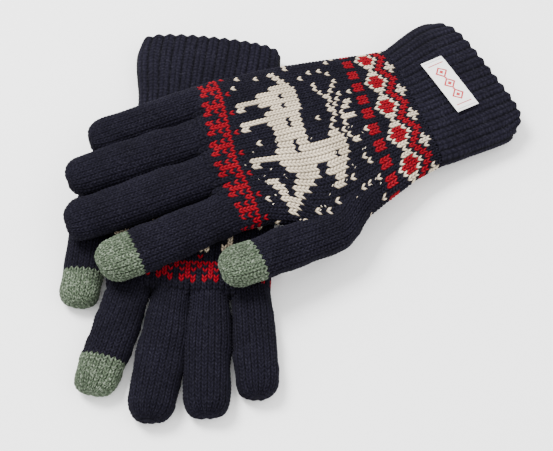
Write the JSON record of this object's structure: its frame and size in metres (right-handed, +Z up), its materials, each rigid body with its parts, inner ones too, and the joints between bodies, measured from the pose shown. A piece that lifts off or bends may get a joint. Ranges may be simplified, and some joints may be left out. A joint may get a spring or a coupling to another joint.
{
  "type": "knitted gloves",
  "caption": "Pair of adult knitted gloves in navy, cream and red with reindeer and diamond patterns and green touchscreen tips on thumb and index finger, one lying across the other.",
  "frame": {"origin": "on the table, under the middle of the bounding box of the whole pair", "axes": "+Z up from the table, -Y towards the finger tips of the lower glove, +X towards the cuff of the upper glove"},
  "size_m": [0.265, 0.2598, 0.0342],
  "materials": {
    "pattern_knit": "soft stocking stitch in navy with cream and red figures",
    "finger_knit": "soft navy stocking stitch",
    "rib_knit": "navy rib knit",
    "touch_knit": "grey-green conductive yarn",
    "woven_label": "smooth woven tape",
    "label_thread": "sewing thread"
  },
  "bodies": {
    "left_glove": {"left_hand": "pattern_knit", "left_cuff": "rib_knit"},
    "right_glove": {"right_hand": "pattern_knit"},
    "right_cuff_body": {"right_cuff": "rib_knit", "right_label": "woven_label", "right_label_seam_thumb_side": "label_thread", "right_label_seam_little_side": "label_thread"},
    "right_index_finger": {"right_index": "finger_knit", "right_index_touch_tip": "touch_knit"},
    "right_middle_finger": {"right_middle": "finger_knit"},
    "right_ring_finger": {"right_ring": "finger_knit"},
    "right_little_finger": {"right_little": "finger_knit"},
    "right_thumb_finger": {"right_thumb": "finger_knit", "right_thumb_touch_tip": "touch_knit"},
    "left_index_finger": {"left_index": "finger_knit", "left_index_touch_tip": "touch_knit"},
    "left_middle_finger": {"left_middle": "finger_knit"},
    "left_ring_finger": {"left_ring": "finger_knit"},
    "left_little_finger": {"left_little": "finger_knit"},
    "left_thumb_finger": {"left_thumb": "finger_knit", "left_thumb_touch_tip": "touch_knit"}
  },
  "joints": [
    {"name": "right_lift", "type": "slide", "parent": "left_glove", "child": "right_glove", "axis": [0, 0, 1], "range_m": [0, 0.15]},
    {"name": "right_wrist", "type": "hinge", "parent": "right_glove", "child": "right_cuff_body", "pos_m": [0.06748, 0.06576, 0.02126], "axis": [0.4992, -0.8663, -0.0178], "range_deg": [0, 45]},
    {"name": "right_index_knuckle", "type": "hinge", "parent": "right_glove", "child": "right_index_finger", "pos_m": [-0.03706, -0.0132, 0.0341], "axis": [-0.4301, 0.9027, 0.0099], "range_deg": [0, 60]},
    {"name": "right_middle_knuckle", "type": "hinge", "parent": "right_glove", "child": "right_middle_finger", "pos_m": [-0.04791, 0.01077, 0.0343], "axis": [-0.3583, 0.9336, 0.0018], "range_deg": [0, 60]},
    {"name": "right_ring_knuckle", "type": "hinge", "parent": "right_glove", "child": "right_ring_finger", "pos_m": [-0.05289, 0.03609, 0.03389], "axis": [-0.3583, 0.9336, 0.0018], "range_deg": [0, 60]},
    {"name": "right_little_knuckle", "type": "hinge", "parent": "right_glove", "child": "right_little_finger", "pos_m": [-0.05708, 0.05926, 0.03348], "axis": [-0.3583, 0.9336, 0.0018], "range_deg": [0, 60]},
    {"name": "right_thumb_swing", "type": "hinge", "parent": "right_glove", "child": "right_thumb_finger", "pos_m": [0.02329, -0.0334, 0.02071], "axis": [0.0966, 0.0351, 0.9947], "range_deg": [0, 35]},
    {"name": "left_index_knuckle", "type": "hinge", "parent": "left_glove", "child": "left_index_finger", "pos_m": [-0.0928, -0.04434, 0.0153], "axis": [-0.9659, 0.2589, 0], "range_deg": [0, 14]},
    {"name": "left_middle_knuckle", "type": "hinge", "parent": "left_glove", "child": "left_middle_finger", "pos_m": [-0.07076, -0.05092, 0.0153], "axis": [-0.9925, 0.1219, 0], "range_deg": [0, 60]},
    {"name": "left_ring_knuckle", "type": "hinge", "parent": "left_glove", "child": "left_ring_finger", "pos_m": [-0.04915, -0.05228, 0.0153], "axis": [-0.9998, 0.0175, 0], "range_deg": [0, 12]},
    {"name": "left_little_knuckle", "type": "hinge", "parent": "left_glove", "child": "left_little_finger", "pos_m": [-0.02807, -0.05141, 0.0153], "axis": [-0.9969, -0.0784, 0], "range_deg": [0, 14]},
    {"name": "left_thumb_swing", "type": "hinge", "parent": "left_glove", "child": "left_thumb_finger", "pos_m": [-0.12848, 0.0031, 0.0075], "axis": [0, 0, -1], "range_deg": [0, 35]}
  ]
}
